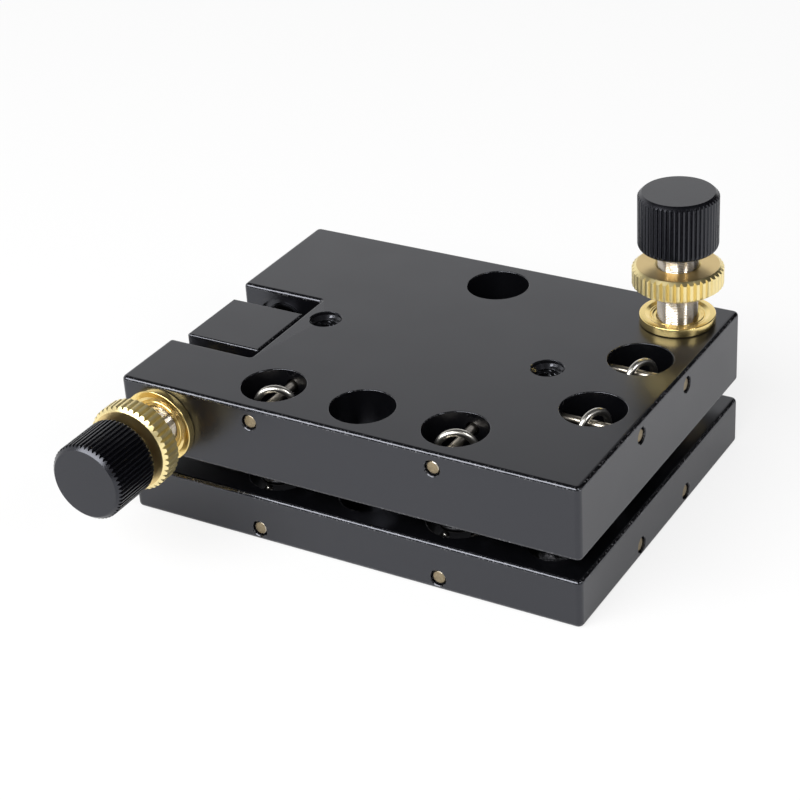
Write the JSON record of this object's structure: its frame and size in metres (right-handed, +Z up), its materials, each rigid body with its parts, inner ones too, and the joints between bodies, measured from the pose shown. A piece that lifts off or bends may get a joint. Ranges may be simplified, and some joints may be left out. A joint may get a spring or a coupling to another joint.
{
  "type": "two-axis tilt stage",
  "caption": "Two square-edged plates held together by springs on ball contacts, with a vertical and a horizontal knurled adjuster screw that tilt the upper plate.",
  "frame": {"origin": "centre of the base plate's underside", "axes": "+X to the right along the front edge, +Y to the back, +Z up out of the plates"},
  "size_m": [0.07, 0.0698, 0.0411],
  "materials": {
    "anodised": "black satin anodised",
    "block_anodised": "black satin anodised",
    "knob_anodised": "black anodised, fluted",
    "brass": "turned and polished",
    "steel": "ground and polished",
    "hardened": "hardened and ground",
    "pin_steel": "cut ends, dull",
    "spring_steel": "drawn wire"
  },
  "bodies": {
    "base": {"base_plate": "anodised", "wedge_post": "hardened", "base_pivot_seat": "hardened", "vertical_pad": "hardened", "base_pin_front_left": "pin_steel", "base_pin_front_right": "pin_steel", "base_pin_side_front": "pin_steel", "base_pin_side_back": "pin_steel", "spring_front_left": "spring_steel", "spring_front_right": "spring_steel", "spring_side_front": "spring_steel", "spring_side_back": "spring_steel"},
    "pivot_ball": {"pivot_ball": "steel"},
    "top": {"top_plate": "anodised", "vertical_bush": "brass", "horizontal_bush": "brass", "top_pivot_seat": "hardened", "top_pin_front_left": "pin_steel", "top_pin_front_right": "pin_steel", "top_pin_side_front": "pin_steel", "top_pin_side_back": "pin_steel"},
    "wedge": {"wedge_block": "block_anodised", "guide_pin": "steel", "wedge_pad": "hardened"},
    "horizontal_screw": {"horizontal_screw": "steel", "horizontal_tip_ball": "steel", "horizontal_knob": "knob_anodised"},
    "vertical_tip": {"vertical_tip_ball": "steel"},
    "vertical_screw": {"vertical_screw": "steel", "vertical_knob": "knob_anodised"},
    "horizontal_lock_nut": {"horizontal_lock_nut": "brass"},
    "vertical_lock_nut": {"vertical_lock_nut": "brass"}
  },
  "joints": [
    {"name": "tilt_front_back", "type": "hinge", "parent": "base", "child": "pivot_ball", "pos_m": [0.0282, -0.0197, 0.009], "axis": [0.9721, -0.2345, 0], "range_deg": [-2.62, 3.55], "deforming": ["spring_front_left", "spring_front_right", "spring_side_front", "spring_side_back"]},
    {"name": "tilt_left_right", "type": "hinge", "parent": "pivot_ball", "child": "top", "pos_m": [0.0282, 0, 0.009], "axis": [0, 1, 0], "range_deg": [-1.26, 1.13], "deforming": ["spring_front_left", "spring_front_right"]},
    {"name": "wedge_slide", "type": "slide", "parent": "top", "child": "wedge", "axis": [0, 1, 0], "range_m": [-0.00125, 0.00113]},
    {"name": "horizontal_screw_turn", "type": "hinge", "parent": "wedge", "child": "horizontal_screw", "pos_m": [-0.0286, -0.026, 0.0154], "axis": [0, 1, 0], "range_deg": [-1800, 1620]},
    {"name": "vertical_tip_slide", "type": "slide", "parent": "top", "child": "vertical_tip", "axis": [0, 0, -1], "range_m": [-0.00175, 0.00238]},
    {"name": "vertical_screw_turn", "type": "hinge", "parent": "vertical_tip", "child": "vertical_screw", "pos_m": [0.0282, 0.0197, 0.0212], "axis": [0, 0, -1], "range_deg": [-2520, 3420]},
    {"name": "horizontal_nut_travel", "type": "slide", "parent": "top", "child": "horizontal_lock_nut", "axis": [0, 1, 0], "range_m": [0, 0.0035]},
    {"name": "vertical_nut_travel", "type": "slide", "parent": "top", "child": "vertical_lock_nut", "axis": [0, 0, -1], "range_m": [0, 0.0043]}
  ],
  "couplings": [
    {"joint": "vertical_screw_turn", "follows": "tilt_front_back", "ratio": 962.62},
    {"joint": "vertical_tip_slide", "follows": "tilt_front_back", "m_per_rad": 0.038302},
    {"joint": "horizontal_screw_turn", "follows": "tilt_left_right", "ratio": 1427.5},
    {"joint": "wedge_slide", "follows": "tilt_left_right", "m_per_rad": 0.0568}
  ]
}
